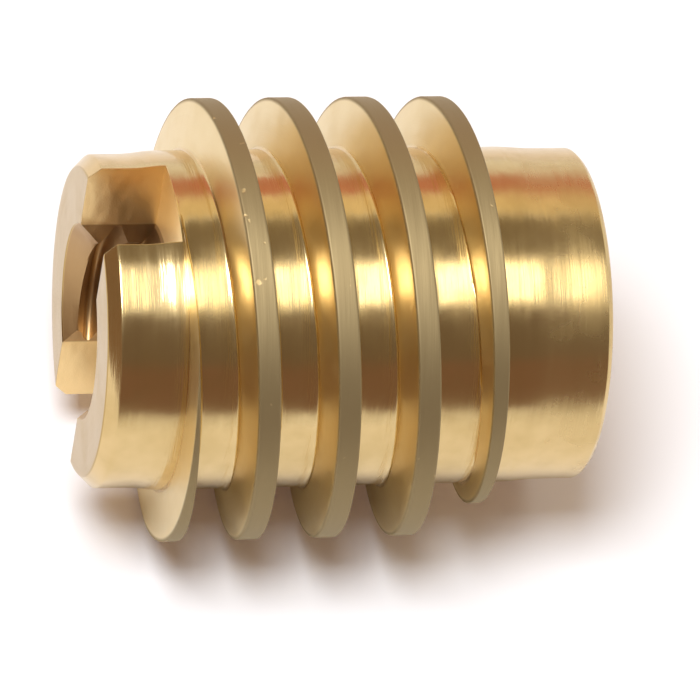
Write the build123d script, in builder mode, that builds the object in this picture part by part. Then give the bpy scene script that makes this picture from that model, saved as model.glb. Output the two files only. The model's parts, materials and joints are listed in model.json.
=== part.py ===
from build123d import *
import os

# A threaded wood insert: one turned brass sleeve with a coarse knife thread outside,
# a bore for a machine thread inside, a plain pilot at the foot and a driver slot across
# the head. It stands on its pilot: the foot is at z = 0, the axis is +Z and the driver
# slot runs along X. Millimetres.

# Turned body
length = 12.7               # foot face to slotted face
core_diameter = 8.5         # between the turns of the knife thread
collar_diameter = 8.35      # plain band below the slotted face
collar_length = 1.95
pilot_diameter = 8.4        # plain lead that starts the insert in its drilled hole
pilot_length = 2.0
head_chamfer = 0.3          # outer edge of the slotted face
foot_chamfer = 0.12         # outer edge of the foot face

# Bore for a 10-24 machine thread
bore_diameter = 3.9         # inside the thread's crests
mouth_diameter = 4.95       # countersunk mouth at both ends
mouth_depth = 0.5

# Knife thread: one right-hand ridge with a flat land
thread_diameter = 11.1      # across the lands
thread_pitch = 2.0
land_width = 0.56
flank_run = 0.22            # how far each flank leans out from the land to the core
thread_azimuth = -45        # degrees from +X, where the land's middle is at thread_height
thread_height = 3.08
runout_azimuth = 45         # where the ridge is still full, before it fades to the pilot
runout_angle = 300          # over which it sinks into the core
runout_land = 0.1           # land left where it has sunk

# Driver slot
slot_width = 2.7
slot_depth = 1.9

# Making
root_overlap = 0.2          # how far the ridge is sunk in the core, to fuse with it
runout_stations = 24        # sections its run-out is lofted through, less one
waste = 1.0                 # by which stock and cuts run past the finished part

core_radius = core_diameter / 2
thread_radius = thread_diameter / 2
collar_foot = length - collar_length
ridge_foot_radius = core_radius - root_overlap
thread_depth = thread_radius - core_radius
sunk_run = flank_run * (1 + root_overlap / thread_depth)

# The ridge is full from full_height up, where it passes runout_azimuth, and is swept until
# it is clear of the collar's foot. Its end, runout_angle further down, is all in the core.
full_height = thread_height + thread_pitch * (runout_azimuth - thread_azimuth) / 360
ridge_height = collar_foot + thread_pitch - full_height
runout_height = thread_pitch * runout_angle / 360
runout_start = full_height - runout_height


def ridge_section(sink, pilot_side):
    """The ridge's trapezoid, let into the core by this much more than its root; pilot_side
    is how far its land reaches towards the pilot."""
    return Polyline(
        (ridge_foot_radius - sink, -pilot_side - sunk_run),
        (thread_radius - sink, -pilot_side),
        (thread_radius - sink, land_width / 2),
        (ridge_foot_radius - sink, land_width / 2 + sunk_run),
        close=True,
    )


# The full ridge by itself: a trapezoid swept up a right-hand helix from the +X side
with BuildPart() as ridge:
    with BuildLine():
        Helix(pitch=thread_pitch, height=ridge_height, radius=core_radius)
    with BuildSketch(Plane.XZ):
        with BuildLine():
            ridge_section(0, land_width / 2)
        make_face()
    sweep(is_frenet=True)

# Its run-out by itself: sections of the sinking trapezoid up the same helix, lofted
with BuildPart() as runout:
    for station in range(runout_stations + 1):
        share = station / runout_stations
        section_plane = Plane(
            origin=(0, 0, runout_height * share),
            x_dir=Vector(1, 0, 0).rotate(Axis.Z, runout_angle * share),
            z_dir=Vector(0, -1, 0).rotate(Axis.Z, runout_angle * share),
        )
        with BuildSketch(section_plane):
            with BuildLine():
                ridge_section(
                    (1 - share) * (thread_depth + root_overlap / 2),
                    land_width / 2 - (1 - share) * (land_width - runout_land),
                )
            make_face()
    loft()

# The threaded stock with everything that is turned, bored and milled on it
with BuildPart() as insert_body:
    with Locations(Location((0, 0, full_height), (0, 0, runout_azimuth))):
        add(ridge.part)
    with Locations(Location((0, 0, runout_start), (0, 0, runout_azimuth - runout_angle))):
        add(runout.part)
    with Locations((0, 0, -waste)):
        Cylinder(
            core_radius,
            length + 2 * waste,
            align=(Align.CENTER, Align.CENTER, Align.MIN),
        )

    # outside: chamfer and pilot at the foot, with the ridge cut off square above the pilot
    # and again where the collar begins
    with BuildSketch(Plane.XZ):
        with BuildLine():
            Polyline(
                (0, 0),
                (pilot_diameter / 2 - foot_chamfer, 0),
                (pilot_diameter / 2, foot_chamfer),
                (pilot_diameter / 2, pilot_length),
                (thread_radius + waste, pilot_length),
                (thread_radius + waste, collar_foot),
                (0, collar_foot),
                close=True,
            )
        make_face()
    revolve(axis=Axis.Z, mode=Mode.INTERSECT)

    # collar with the chamfer round the slotted face
    with BuildSketch(Plane.XZ):
        with BuildLine():
            Polyline(
                (0, collar_foot),
                (collar_diameter / 2, collar_foot),
                (collar_diameter / 2, length - head_chamfer),
                (collar_diameter / 2 - head_chamfer, length),
                (0, length),
                close=True,
            )
        make_face()
    revolve(axis=Axis.Z)

    # bore with its countersunk mouths
    with BuildSketch(Plane.XZ):
        with BuildLine():
            Polyline(
                (0, 0),
                (mouth_diameter / 2, 0),
                (bore_diameter / 2, mouth_depth),
                (bore_diameter / 2, length - mouth_depth),
                (mouth_diameter / 2, length),
                (0, length),
                close=True,
            )
        make_face()
    revolve(axis=Axis.Z, mode=Mode.SUBTRACT)

    # driver slot
    with BuildSketch(Plane.XY.offset(length)):
        Rectangle(2 * thread_diameter, slot_width)
    extrude(amount=-slot_depth, mode=Mode.SUBTRACT)

insert_body.part.label = "insert_body"
os.makedirs("parts", exist_ok=True)
export_step(insert_body.part, "parts/insert_body.step")
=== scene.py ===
import json
import math

import bmesh
import bpy
import numpy as np
from mathutils import Matrix, Vector


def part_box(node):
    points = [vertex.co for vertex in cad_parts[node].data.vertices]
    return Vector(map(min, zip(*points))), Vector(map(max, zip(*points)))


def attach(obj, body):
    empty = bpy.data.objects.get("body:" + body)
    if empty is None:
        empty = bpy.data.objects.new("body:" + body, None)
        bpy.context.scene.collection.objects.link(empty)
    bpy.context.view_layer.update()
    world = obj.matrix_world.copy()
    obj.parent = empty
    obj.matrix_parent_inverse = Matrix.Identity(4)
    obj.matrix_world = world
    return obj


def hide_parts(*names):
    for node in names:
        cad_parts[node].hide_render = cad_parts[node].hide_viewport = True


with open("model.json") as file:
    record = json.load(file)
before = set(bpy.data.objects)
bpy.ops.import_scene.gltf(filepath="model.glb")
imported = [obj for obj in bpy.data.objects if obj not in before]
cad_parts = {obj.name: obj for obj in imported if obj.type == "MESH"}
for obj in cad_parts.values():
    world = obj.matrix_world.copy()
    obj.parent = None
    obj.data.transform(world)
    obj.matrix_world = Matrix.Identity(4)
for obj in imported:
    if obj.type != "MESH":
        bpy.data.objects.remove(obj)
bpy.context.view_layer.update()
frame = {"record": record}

# ---------------------------------------------------------------- sizes
# Millimetres in the part's own frame: the foot is at z = 0, the axis is +Z and the
# driver slot runs along X. Lengths the frame knows come from it.

MM = 0.001
foot, head = (corner.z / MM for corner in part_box("insert_body"))
land_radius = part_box("insert_body")[1].x / MM
mounts = {mount["name"]: mount for mount in frame["record"]["mounts"]}
bore_radius = mounts["machine_thread_bore"]["dims"]["r_mm"]
pilot_radius = mounts["pilot"]["dims"]["r_mm"]
slot_floor = mounts["driver_slot"]["pos_m"][2] / MM

core_radius = 4.25
collar_radius = 4.175
collar_foot = 10.75         # where the collar's face cuts the knife thread off
pilot_top = 2.0
head_chamfer = 0.3
foot_chamfer = 0.12
pilot_blend_length = 1.0    # over which the core runs into the pilot
collar_blend_length = 0.9   # and into the collar
chamfer_round = 0.06
mouth_radius = 2.475
mouth_depth = 0.5
slot_half_width = 1.35
slot_edge_round = 0.045

# Knife thread
knife_pitch = 2.0
land_half_width = 0.28
flank_run = 0.22
knife_height = 3.08         # of the land's middle, at knife_azimuth
knife_azimuth = math.radians(-45)
runout_azimuth = math.radians(45)   # where the ridge is still full, on its last turn
runout_angle = math.radians(300)    # over which it sinks into the core
runout_land = 0.1           # width of the land left where it has sunk
land_edge_round = 0.05
ridge_foot_round = 0.08

# Machine thread in the bore
machine_pitch = 1.058
machine_major_radius = 2.413
machine_root_flat = 0.13
machine_crest_round = 0.04
machine_root_round = 0.04

# Making the mesh
steps_per_turn = 150
face_margin = 0.4           # between the rows of a wall or a face and a chamfered corner
skin_merge = 0.0015         # points nearer than this are one
cut_merge = 0.002           # and so after the slot is cut
slot_tolerance = 0.002      # for telling which edges lie on the slot
slot_edge_angle = math.radians(35)      # edges sharper than this are broken
smooth_angle = math.radians(38)         # and flatter than this are shaded smooth


# ---------------------------------------------------------------- meshes
def knife_section():
    """Across the knife thread from one groove's middle to the next: axial offset and
    radius. The half section runs up from the groove, round the ridge's foot, along a
    straight flank, round the land's edge and in to its middle; the other half mirrors
    it."""
    height = land_radius - core_radius
    base_half_width = land_half_width + flank_run
    half = []
    for part in np.linspace(0, 1, 5)[:-1]:
        groove = knife_pitch / 2
        half.append((groove + part * (base_half_width + ridge_foot_round - groove), 0))
    for angle in np.linspace(0, math.pi / 2, 4):
        out = base_half_width + ridge_foot_round * (1 - math.sin(angle))
        half.append((out, ridge_foot_round * (1 - math.cos(angle))))
    for part in np.linspace(0, 1, 9)[1:-1]:
        rise = ridge_foot_round + part * (height - ridge_foot_round - land_edge_round)
        half.append((base_half_width - flank_run * rise / height, rise))
    for angle in np.linspace(0, math.pi / 2, 4):
        out = land_half_width - land_edge_round * (1 - math.cos(angle))
        half.append((out, height - land_edge_round * (1 - math.sin(angle))))
    for part in (0.75, 0.5, 0.25):
        half.append((part * land_half_width, height))
    upper = np.array(half)
    offset = np.concatenate([-upper[:, 0], upper[::-1, 0]])
    radius = core_radius + np.concatenate([upper[:, 1], upper[::-1, 1]])
    return offset[:, None], radius[:, None]


def machine_section():
    """Across the bore's thread from one crest's middle to the next: axial offset and
    radius of a 60 degree groove with a flat root and rounded crests."""
    depth = machine_major_radius - bore_radius
    run = depth * math.tan(math.radians(30))
    root = machine_root_flat / 2
    crest = machine_crest_round
    root_round = machine_root_round
    half = [
        (machine_pitch / 2, 0),
        (root + run + 2 * crest, 0),
        (root + run + 0.5 * crest, 0.12 * crest),
        (root + run - 0.3 * crest, 0.9 * crest),
        (root + run * 0.5, depth * 0.5),
        (root + root_round, depth - 1.5 * root_round),
        (root, depth - 0.25 * root_round),
        (0.75 * root_round, depth),
    ]
    offset = np.array([-o for o, _ in half] + [o for o, _ in half[::-1]])
    radius = bore_radius + np.array([d for _, d in half] + [d for _, d in half[::-1]])
    return offset[:, None], radius[:, None]


def grid_faces(rows, columns, first, closed):
    """Quads of a grid of points whose columns may close on themselves, as index rows."""
    index = first + np.arange(rows * columns).reshape(rows, columns)
    across = np.roll(index, -1, axis=1) if closed else index[:, 1:]
    here = index if closed else index[:, :-1]
    return np.stack(
        [here[:-1], across[:-1], across[1:], here[1:]], axis=-1
    ).reshape(-1, 4)


def polar(radius, angle, height):
    """Points at each radius, angle and height."""
    radius, angle, height = np.broadcast_arrays(radius, angle, height)
    return np.stack([radius * np.cos(angle), radius * np.sin(angle), height], axis=-1)


class Wall:
    """Points and quads of one closed skin, gathered a grid at a time."""

    def __init__(self):
        self.points, self.faces, self.count = [], [], 0

    def add(self, grid, closed, flip=False):
        rows, columns = grid.shape[:2]
        faces = grid_faces(rows, columns, self.count, closed)
        self.points.append(grid.reshape(-1, 3))
        self.faces.append(faces[:, ::-1] if flip else faces)
        self.count += rows * columns

    def mesh(self, name):
        mesh = bpy.data.meshes.new(name)
        points = np.concatenate(self.points) * MM
        mesh.from_pydata(points.tolist(), [], np.concatenate(self.faces).tolist())
        return mesh


def turned_rings(wall, profile):
    """Skin turned from a profile of (radius, height) points round the axis."""
    angle = np.arange(steps_per_turn) * math.tau / steps_per_turn
    radius, height = np.array(profile).T
    wall.add(polar(radius[:, None], angle[None, :], height[:, None]), True)


def rounded_chamfer(outer, chamfer, face, towards):
    """Profile points from a wall of radius outer over a 45 degree chamfer to an end
    face; towards is +1 at the head and -1 at the foot."""
    soft = chamfer_round / 2
    points = [
        (outer, chamfer + soft),
        (outer - 0.2 * soft, chamfer),
        (outer - 0.9 * soft, chamfer - 0.9 * soft),
        (outer - chamfer + 0.9 * soft, 0.9 * soft),
        (outer - chamfer, 0.2 * soft),
        (outer - chamfer - soft, 0),
    ]
    return [(radius, face - towards * inset) for radius, inset in points]


def blend(first_radius, first_height, last_radius, last_height):
    """Profile points after the first and up to the last, along half a cosine wave."""
    points = []
    for part in np.linspace(0, 1, 7)[1:]:
        share = (1 - math.cos(part * math.pi)) / 2
        height = first_height + part * (last_height - first_height)
        points.append((first_radius + share * (last_radius - first_radius), height))
    return points


def insert_skin():
    """The whole insert before its driver slot is cut: the knife thread and the bore's
    thread as helical strips one pitch wide, and the rest as turned rings."""
    wall = Wall()
    step = math.tau / steps_per_turn

    def helical_turns(pitch, height_at_zero, low, high):
        first = math.floor((low - pitch - height_at_zero) / pitch * steps_per_turn)
        last = math.ceil((high + pitch - height_at_zero) / pitch * steps_per_turn)
        return np.arange(first, last + 1) * step

    # knife thread and core: the ridge sinks into the core over its last turn while its
    # land narrows from the pilot's side, and it is faced off square at the collar, where
    # whatever is left of the section keeps the radius of the cut
    height_at_zero = knife_height - knife_pitch * knife_azimuth / math.tau
    turn = helical_turns(knife_pitch, height_at_zero, pilot_top, collar_foot)
    offset, radius = knife_section()
    middle = height_at_zero + knife_pitch * turn[None, :] / math.tau
    height = middle + offset
    cut_radius = np.interp(collar_foot - middle, offset[:, 0], radius[:, 0])
    radius = np.where(height > collar_foot, np.minimum(radius, cut_radius), radius)
    sunk = np.clip((runout_azimuth - turn) / runout_angle, 0, 1)[None, :]
    radius = np.maximum(radius - sunk * (land_radius - core_radius), core_radius)
    narrowing = sunk * (2 * land_half_width - runout_land)
    groove = knife_pitch / 2 - land_half_width - flank_run - ridge_foot_round
    to_pilot = np.clip(0.5 - offset / (2 * land_half_width), 0, 1)
    height = height + narrowing * to_pilot * np.clip((offset + knife_pitch / 2) / groove, 0, 1)
    height = np.clip(height, pilot_top, collar_foot)
    wall.add(polar(radius, turn[None, :], height), False)

    # bore thread, opening into the countersunk mouths
    turn = helical_turns(machine_pitch, 0, foot, head)
    offset, radius = machine_section()
    height = np.clip(machine_pitch * turn / math.tau + offset, foot, head)
    depth = np.minimum(height - foot, head - height)
    cone = mouth_radius - depth * (mouth_radius - bore_radius) / mouth_depth
    wall.add(polar(np.maximum(radius, cone), turn[None, :], height), False, flip=True)

    # pilot and foot face; collar and slotted face
    pilot = rounded_chamfer(pilot_radius, foot_chamfer, foot, -1)[::-1]
    pilot_wall = [(pilot_radius, z) for z in np.linspace(face_margin, pilot_top - pilot_blend_length, 7)]
    foot_face = [(r, foot) for r in np.linspace(mouth_radius, pilot_radius - face_margin, 6)]
    pilot_blend = blend(pilot_radius, pilot_top - pilot_blend_length, core_radius, pilot_top)
    turned_rings(wall, foot_face + pilot + pilot_wall + pilot_blend)
    collar_start = collar_foot + collar_blend_length
    collar_blend = blend(core_radius, collar_foot, collar_radius, collar_start)
    collar_wall = [(collar_radius, z) for z in np.linspace(collar_start, head - face_margin, 6)]
    collar = rounded_chamfer(collar_radius, head_chamfer, head, 1)
    head_face = [(r, head) for r in np.linspace(collar_radius - face_margin, mouth_radius, 6)]
    collar_side = [(core_radius, collar_foot)] + collar_blend + collar_wall[1:]
    turned_rings(wall, collar_side + collar + head_face)
    return wall.mesh("insert_skin")


def cut_slot(skin):
    """Cuts the driver slot across the head with a Boolean, and rounds its edges."""
    reach = 2 * land_radius
    box = bpy.data.meshes.new("slot_cutter")
    corners = [
        (x, y, z)
        for z in (slot_floor, head + 1)
        for x, y in (
            (-reach, -slot_half_width),
            (reach, -slot_half_width),
            (reach, slot_half_width),
            (-reach, slot_half_width),
        )
    ]
    quads = [(3, 2, 1, 0), (4, 5, 6, 7), (0, 1, 5, 4), (1, 2, 6, 5), (2, 3, 7, 6), (3, 0, 4, 7)]
    box.from_pydata((np.array(corners) * MM).tolist(), [], quads)
    cutter = bpy.data.objects.new("slot_cutter", box)
    bpy.context.scene.collection.objects.link(cutter)
    boolean = skin.modifiers.new("driver_slot", "BOOLEAN")
    boolean.operation = "DIFFERENCE"
    boolean.solver = "EXACT"
    boolean.object = cutter
    bpy.context.view_layer.update()
    evaluated = skin.evaluated_get(bpy.context.evaluated_depsgraph_get())
    cut = bpy.data.meshes.new_from_object(evaluated)
    skin.modifiers.clear()
    skin.data = cut
    bpy.data.objects.remove(cutter)


def round_slot_edges(work):
    """Breaks the slot's edges along its walls and floor, outside the bore."""
    def on_slot(vert):
        beside = abs(abs(vert.co.y) / MM - slot_half_width) < slot_tolerance
        return beside or abs(vert.co.z / MM - slot_floor) < slot_tolerance

    def outside_bore(vert):
        return math.hypot(vert.co.x, vert.co.y) / MM > mouth_radius + 0.05

    edges = [
        edge
        for edge in work.edges
        if all(on_slot(vert) and outside_bore(vert) for vert in edge.verts)
        and edge.is_convex
        and edge.calc_face_angle(0) > slot_edge_angle
    ]
    bmesh.ops.bevel(
        work,
        geom=edges,
        offset=slot_edge_round * MM,
        offset_type="OFFSET",
        segments=2,
        profile=0.5,
        affect="EDGES",
        clamp_overlap=True,
    )


def make_insert():
    """The finished insert: its skin closed, slotted, with the slot's edges broken."""
    insert = bpy.data.objects.new("insert", insert_skin())
    bpy.context.scene.collection.objects.link(insert)
    work = bmesh.new()
    work.from_mesh(insert.data)
    bmesh.ops.remove_doubles(work, verts=work.verts, dist=skin_merge * MM)
    work.to_mesh(insert.data)
    work.free()
    cut_slot(insert)
    work = bmesh.new()
    work.from_mesh(insert.data)
    bmesh.ops.remove_doubles(work, verts=work.verts, dist=cut_merge * MM)
    # the cut leaves a doubled triangle, which has free edges
    flaps = {edge.link_faces[0] for edge in work.edges if len(edge.link_faces) == 1}
    bmesh.ops.delete(work, geom=list(flaps), context="FACES")
    round_slot_edges(work)
    work.to_mesh(insert.data)
    work.free()
    insert.data.shade_smooth()
    insert.data.set_sharp_from_angle(angle=smooth_angle)
    return insert


# ---------------------------------------------------------------- view
# The insert is seen lying on its side, so the camera is turned with it: the slotted end
# points left, and the sheet it lies on is a plane along the axis that touches the lands.

look_down_axis = math.radians(13)   # how far the slotted face is turned to the camera
lay_azimuth = math.radians(45)      # where on the rim the top of the view is
sheet_tilt = math.radians(53)       # how steeply the camera looks down on the sheet
picture_roll = math.radians(1.1)
picture_width = 17.65               # millimetres across the frame, at the insert
picture_offset = (0.58, -0.83)      # of the frame's middle from the insert's, in the frame
lens = 300

AXIS = Vector((0, 0, 1))
UP = Vector((math.cos(lay_azimuth), math.sin(lay_azimuth), 0))
NEAR = UP.cross(AXIS)
TO_CAMERA = NEAR * math.cos(look_down_axis) + AXIS * math.sin(look_down_axis)
SHEET_NORMAL = UP * math.cos(sheet_tilt) + NEAR * math.sin(sheet_tilt)
SHEET_NEAR = NEAR * math.cos(sheet_tilt) - UP * math.sin(sheet_tilt)
MIDDLE = AXIS * (foot + head) / 2


def make_camera():
    """A long lens aimed at the picture's middle, rolled a little."""
    right = NEAR * math.sin(look_down_axis) - AXIS * math.cos(look_down_axis)
    turned_right = right * math.cos(picture_roll) - UP * math.sin(picture_roll)
    turned_up = right * math.sin(picture_roll) + UP * math.cos(picture_roll)
    camera = bpy.data.cameras.new("camera")
    camera.lens = lens
    camera.sensor_width = 36
    distance = picture_width * camera.lens / camera.sensor_width
    aim = MIDDLE + turned_right * picture_offset[0] + turned_up * picture_offset[1]
    place = aim + TO_CAMERA * distance
    turn = Matrix((turned_right, turned_up, TO_CAMERA)).transposed()
    camera.clip_start, camera.clip_end = 0.001, 10
    body = bpy.data.objects.new("camera", camera)
    body.matrix_world = Matrix.Translation(place * MM) @ turn.to_4x4()
    bpy.context.scene.collection.objects.link(body)
    bpy.context.scene.camera = body


# ---------------------------------------------------------------- shader maths
class Value:
    """A socket that can be used in arithmetic: each operator adds its Math node."""

    def __init__(self, shader, socket):
        self.shader, self.socket = shader, socket

    def math(self, operation, *others):
        inputs = {0: self, **{i + 1: other for i, other in enumerate(others)}}
        return self.shader.node("ShaderNodeMath", {"operation": operation}, inputs)[0]

    def __add__(self, other):
        return self.math("ADD", other)

    __radd__ = __add__

    def __mul__(self, other):
        return self.math("MULTIPLY", other)

    def __sub__(self, other):
        return self.math("SUBTRACT", other)

    def __rsub__(self, other):
        return self * -1 + other

    def limited(self):
        """Held between 0 and 1."""
        return self.math("MAXIMUM", 0).math("MINIMUM", 1)

    def step(self, low, high):
        """0 at low and under, 1 at high and over, smooth between."""
        settings = {"interpolation_type": "SMOOTHSTEP"}
        inputs = {"Value": self, "From Min": low, "From Max": high}
        return self.shader.node("ShaderNodeMapRange", settings, inputs)["Result"]


class Outputs:
    """A node's outputs by name or number, as Values."""

    def __init__(self, shader, node):
        self.shader, self.made = shader, node

    def __getitem__(self, key):
        return Value(self.shader, self.made.outputs[key])


class Shader:
    """A node tree that is being filled."""

    def __init__(self, owner):
        owner.use_nodes = True
        self.tree = owner.node_tree
        self.tree.nodes.clear()

    def node(self, kind, settings=None, inputs=None):
        """Adds a node: settings are its properties, and inputs are values for its sockets
        or what is linked to them, by name or number."""
        made = self.tree.nodes.new(kind)
        for name, value in (settings or {}).items():
            setattr(made, name, value)
        for key, value in (inputs or {}).items():
            if isinstance(value, Value):
                self.tree.links.new(value.socket, made.inputs[key])
            else:
                made.inputs[key].default_value = value
        return Outputs(self, made)

    def noise(self, vector, scale, detail=2, roughness=0.5):
        inputs = {"Vector": vector, "Scale": scale, "Detail": detail, "Roughness": roughness}
        return self.node("ShaderNodeTexNoise", {"noise_dimensions": "3D"}, inputs)["Fac"]

    def vector(self, x, y, z):
        return self.node("ShaderNodeCombineXYZ", inputs={"X": x, "Y": y, "Z": z})["Vector"]

    def mix(self, share, first, second):
        """Colour mix: first at 0, second at 1."""
        settings = {"data_type": "RGBA"}
        inputs = {"Factor": share, 6: first, 7: second}
        return self.node("ShaderNodeMix", settings, inputs)[2]


# ---------------------------------------------------------------- brass
BRASS = (0.71, 0.52, 0.25, 1)
TARNISHED_BRASS = (0.58, 0.41, 0.17, 1)
# painted light: a paler, brighter brass for the thread's flanks, standing in for light their reflections
# lack
LIT_FLANK_BRASS = (0.83, 0.68, 0.39, 1)
LAND_BRASS = (0.25, 0.18, 0.085, 1)
FACE_BRASS = (0.47, 0.31, 0.10, 1)
# painted light: a brighter, more orange brass for the slot's walls and floor, standing in for light
# bounced between them
LIT_SLOT_BRASS = (0.97, 0.72, 0.36, 1)
# painted shade: a darker brass for the bore, its thread and its mouths
SHADED_BORE_BRASS = (0.40, 0.24, 0.11, 1)
bump_strength = 0.38
bump_depth = 0.03           # millimetres


def brass():
    """Free-turning brass, dulled by handling: tool rings round the axis, a patchy bloom,
    rough lands where the stock's own skin is left, and a coarser finish where the slot
    and the bore were cut. Its colour also holds painted light and shade: paler, brighter
    brass on the thread's flanks and in the slot as painted light, and darker brass in the
    bore and its mouths as painted shade."""
    material = bpy.data.materials.new("turned_brass")
    shader = Shader(material)
    place = shader.node("ShaderNodeTexCoord")["Object"]
    scaled = shader.node(
        "ShaderNodeVectorMath", {"operation": "SCALE"}, {0: place, "Scale": 1 / MM}
    )["Vector"]
    split = shader.node("ShaderNodeSeparateXYZ", inputs={0: scaled})
    x, y, z = split["X"], split["Y"], split["Z"]
    radius = (x * x + y * y).math("SQRT")
    angle = y.math("ARCTAN2", x)

    # tool rings, tarnish and the uneven turning
    ring_place = shader.vector(radius, angle * 0.12, z)
    rings = shader.noise(ring_place, 5, detail=3, roughness=0.6)
    fine_rings = shader.noise(ring_place, 26, detail=2)
    bloom = shader.noise(scaled, 0.8, detail=2)
    smudge = shader.noise(scaled, 2.0, detail=2)
    chatter = shader.noise(shader.vector(radius, angle * 1.4, z * 2.2), 2.2, detail=0)

    # masks, 1 on the form they name and 0 off it, though on_flank takes in the lands too;
    # sunk is how far the ridge's nearest turn has gone down into the core
    on_flank = radius.step(core_radius + 0.02, core_radius + 0.12)
    turns = (z - knife_height) * (1 / knife_pitch) - (angle - knife_azimuth) * (1 / math.tau)
    helix_angle = angle + turns.math("ROUND") * math.tau
    sunk = ((runout_azimuth - helix_angle) * (1 / runout_angle)).limited()
    unsunk = radius + sunk * (land_radius - core_radius)
    on_land = unsunk.step(land_radius - 0.12, land_radius - 0.02) * (1 - sunk.step(0.85, 0.95))
    in_slot = (slot_half_width + 0.01 - y.math("ABSOLUTE")).step(0, 0.01)
    in_slot = in_slot * z.step(slot_floor - 0.02, slot_floor)
    in_bore = 1 - radius.step(mouth_radius - 0.05, mouth_radius)
    on_face = z.step(head - 0.03, head - 0.01)
    on_pilot = 1 - z.step(pilot_top - 0.6, pilot_top + 0.4)
    nicks = shader.noise(scaled, 2.6, detail=2).step(0.71, 0.77) * on_land
    milled = in_slot.math("MAXIMUM", in_bore)
    patch = bloom.step(0.4, 0.65) * 0.5 + smudge.step(0.35, 0.85) * 0.4

    # colour, gloss and relief
    colour = shader.mix(patch * 0.8, BRASS, TARNISHED_BRASS)
    # painted light on the flanks, and under their own colour the lands: a paler, brighter brass
    colour = shader.mix(on_flank * 0.85, colour, LIT_FLANK_BRASS)
    colour = shader.mix(on_land * 0.85, colour, LAND_BRASS)
    colour = shader.mix(on_face, colour, FACE_BRASS)
    colour = shader.mix(nicks * 0.7, colour, BRASS)
    # painted light in the slot: brighter, more orange brass
    colour = shader.mix(in_slot * 0.8, colour, LIT_SLOT_BRASS)
    # painted shade in the bore and its mouths: darker brass
    colour = shader.mix(in_bore * 0.8, colour, SHADED_BORE_BRASS)
    rough = 0.13 + rings * 0.07 + patch * 0.1 + on_pilot * 0.06
    rough = (rough + on_flank * 0.16 + on_land * 0.27 + milled * 0.2).math("MINIMUM", 0.6)
    height = rings * 0.5 + fine_rings * 0.3 + chatter * 0.8 - nicks * 0.6
    relief = {"Strength": bump_strength, "Distance": bump_depth * MM, "Height": height}
    bump = shader.node("ShaderNodeBump", None, relief)["Normal"]
    surface = shader.node(
        "ShaderNodeBsdfPrincipled",
        None,
        {
            "Base Color": colour,
            "Roughness": rough,
            "Metallic": 1.0,
            "Normal": bump,
        },
    )[0]
    shader.node("ShaderNodeOutputMaterial", None, {"Surface": surface})
    return material


# ---------------------------------------------------------------- stage
PAPER = (0.92, 0.92, 0.92, 1)
sheet_glow = 0.05           # the sheet's own light, seen by the camera alone
SHEET_GLOW_COLOUR = (1, 0.5, 0.4, 1)
sheet_front = 19            # from under the insert's axis to the sheet's near edge
sheet_back = 90             # and to its far edge
sheet_half_length = 110     # along the axis
sheet_gap = 0.01            # between the sheet and the lands

card_distance = 80
CARDS = (
    # name, lowest and highest angle, ends towards pilot and head, colour
    ("low_card", -14, 22, -75, 75, (0.23, 0.14, 0.10)),
    ("front_card", 22, 58, -75, 75, (0.19, 0.145, 0.11)),
    ("bright_card", 62, 86, -30, -12, (4.2, 4.0, 3.4)),
    ("top_card", 90, 122, -75, 75, (0.24, 0.195, 0.14)),
    ("gold_card", 124, 141, -75, 75, (1.00, 0.84, 0.56)),
    ("warm_card", 142, 162, -75, 75, (0.66, 0.275, 0.20)),
)
end_card_distance = 60
end_card_radius = 60
END_CARD_COLOUR = (0.26, 0.17, 0.11)

room_light = 0.22           # how bright the room is as light
ROOM_LIGHT_COLOUR = (1, 0.82, 0.76, 1)
key_angle = 77              # above the sheet, from level towards the camera
key_lean = 17               # towards the slotted end
key_distance = 250
key_size = 98
key_energy = 0.62
KEY_COLOUR = (0.95, 1.0, 1.08)


def sheet_material():
    """The white sheet. It is lit like paper, with a little warm light of its own for
    the camera, and it can be seen through from underneath."""
    material = bpy.data.materials.new("white_sheet")
    shader = Shader(material)
    rays = shader.node("ShaderNodeLightPath")
    under = shader.node("ShaderNodeNewGeometry")["Backfacing"]
    paper = shader.node("ShaderNodeBsdfDiffuse", None, {"Color": PAPER})[0]
    seen = {"Color": SHEET_GLOW_COLOUR, "Strength": rays["Is Camera Ray"] * sheet_glow}
    glow = shader.node("ShaderNodeEmission", None, seen)[0]
    lit = shader.node("ShaderNodeAddShader", None, {0: paper, 1: glow})[0]
    clear = shader.node("ShaderNodeBsdfTransparent")[0]
    surface = shader.node("ShaderNodeMixShader", None, {0: under, 1: lit, 2: clear})[0]
    shader.node("ShaderNodeOutputMaterial", None, {"Surface": surface})
    return material


def card_material(name, colour):
    """A studio card as the metal sees it: an even colour."""
    material = bpy.data.materials.new(name)
    shader = Shader(material)
    surface = shader.node("ShaderNodeEmission", None, {"Color": (*colour, 1)})[0]
    shader.node("ShaderNodeOutputMaterial", None, {"Surface": surface})
    return material


def stage_piece(name, points, faces, material, seen):
    mesh = bpy.data.meshes.new(name)
    mesh.from_pydata([tuple(point * MM) for point in points], [], faces)
    mesh.materials.append(material)
    piece = bpy.data.objects.new(name, mesh)
    piece.visible_camera = piece.visible_shadow = seen
    bpy.context.scene.collection.objects.link(piece)
    return piece


def make_sheet():
    touch = MIDDLE - SHEET_NORMAL * (land_radius + sheet_gap)
    half = sheet_half_length
    corners = [
        touch + SHEET_NEAR * near + AXIS * along
        for near, along in (
            (-sheet_back, -half),
            (sheet_front, -half),
            (sheet_front, half),
            (-sheet_back, half),
        )
    ]
    stage_piece("sheet", corners, [(3, 2, 1, 0)], sheet_material(), True)


def studio_direction(degrees_up):
    """Unit vector square to the axis: 0 is level towards the camera, 90 is straight up
    from the sheet and 180 is level away from the camera."""
    angle = math.radians(degrees_up)
    return SHEET_NEAR * math.cos(angle) + SHEET_NORMAL * math.sin(angle)


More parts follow.
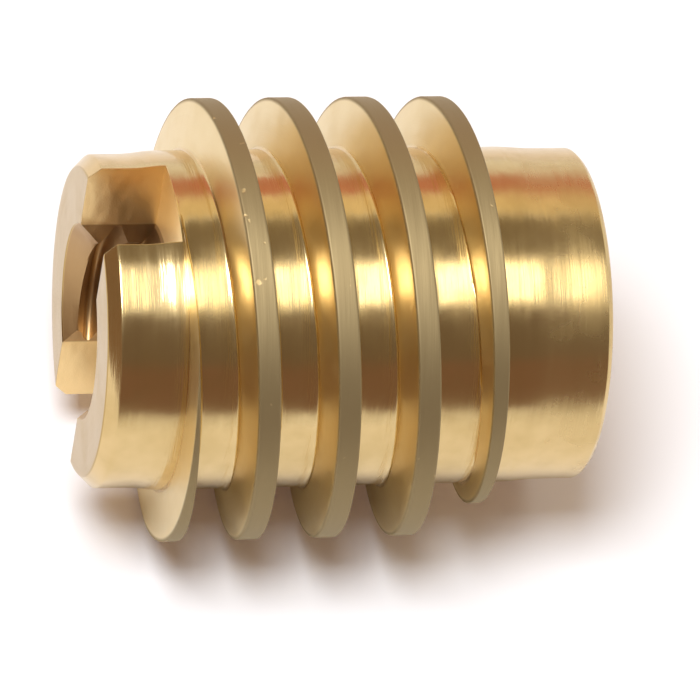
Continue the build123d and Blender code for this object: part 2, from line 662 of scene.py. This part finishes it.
def make_card(name, low, high, tail_end, head_end, colour):
    """A strip of a wide drum round the insert, between two angles above the sheet and
    two distances along the axis from its middle."""
    steps = 12
    rim = [studio_direction(low + (high - low) * i / steps) for i in range(steps + 1)]
    ends = (tail_end, head_end)
    points = [MIDDLE + way * card_distance + AXIS * end for way in rim for end in ends]
    faces = [(2 * i, 2 * i + 1, 2 * i + 3, 2 * i + 2) for i in range(steps)]
    stage_piece(name, points, faces, card_material(name, colour), False)


def make_end_card():
    """A round card that the slotted end faces."""
    steps = 32
    rim = []
    for i in range(steps):
        angle = math.tau * i / steps
        rim.append(UP * math.cos(angle) + NEAR * math.sin(angle))
    points = [MIDDLE + AXIS * end_card_distance + way * end_card_radius for way in rim]
    material = card_material("end_card", END_CARD_COLOUR)
    stage_piece("end_card", points, [tuple(range(steps))], material, False)


def make_key_light():
    """A softbox above the sheet, leaning over towards the slotted end."""
    lamp = bpy.data.lights.new("key_light", "AREA")
    lamp.shape = "SQUARE"
    lamp.size = key_size * MM
    lamp.energy = key_energy
    lamp.color = KEY_COLOUR
    box = bpy.data.objects.new("key_light", lamp)
    lean = math.radians(key_lean)
    way = studio_direction(key_angle) * math.cos(lean) + AXIS * math.sin(lean)
    side = way.cross(AXIS).normalized()
    turn = Matrix((side.cross(way), side, way)).transposed()
    box.matrix_world = Matrix.Translation((MIDDLE + way * key_distance) * MM) @ turn.to_4x4()
    bpy.context.scene.collection.objects.link(box)


def make_world():
    """White for what the camera, gloss and glass see past the cards, and dimmer and
    warmer as light."""
    world = bpy.data.worlds.new("room")
    bpy.context.scene.world = world
    shader = Shader(world)
    rays = shader.node("ShaderNodeLightPath")
    seen = (rays["Is Camera Ray"] + rays["Is Glossy Ray"] + rays["Is Transmission Ray"]).limited()
    strength = seen * (1 - room_light) + room_light
    colour = shader.mix(seen, ROOM_LIGHT_COLOUR, (1, 1, 1, 1))
    background = shader.node(
        "ShaderNodeBackground", None, {"Color": colour, "Strength": strength}
    )[0]
    shader.node("ShaderNodeOutputWorld", None, {"Surface": background})


# ---------------------------------------------------------------- scene
insert = make_insert()
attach(insert, "root")
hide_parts("insert_body")
insert.data.materials.clear()
insert.data.materials.append(brass())
make_camera()
make_sheet()
for card in CARDS:
    make_card(*card)
make_end_card()
make_key_light()
make_world()
bpy.context.scene.view_settings.view_transform = "Standard"
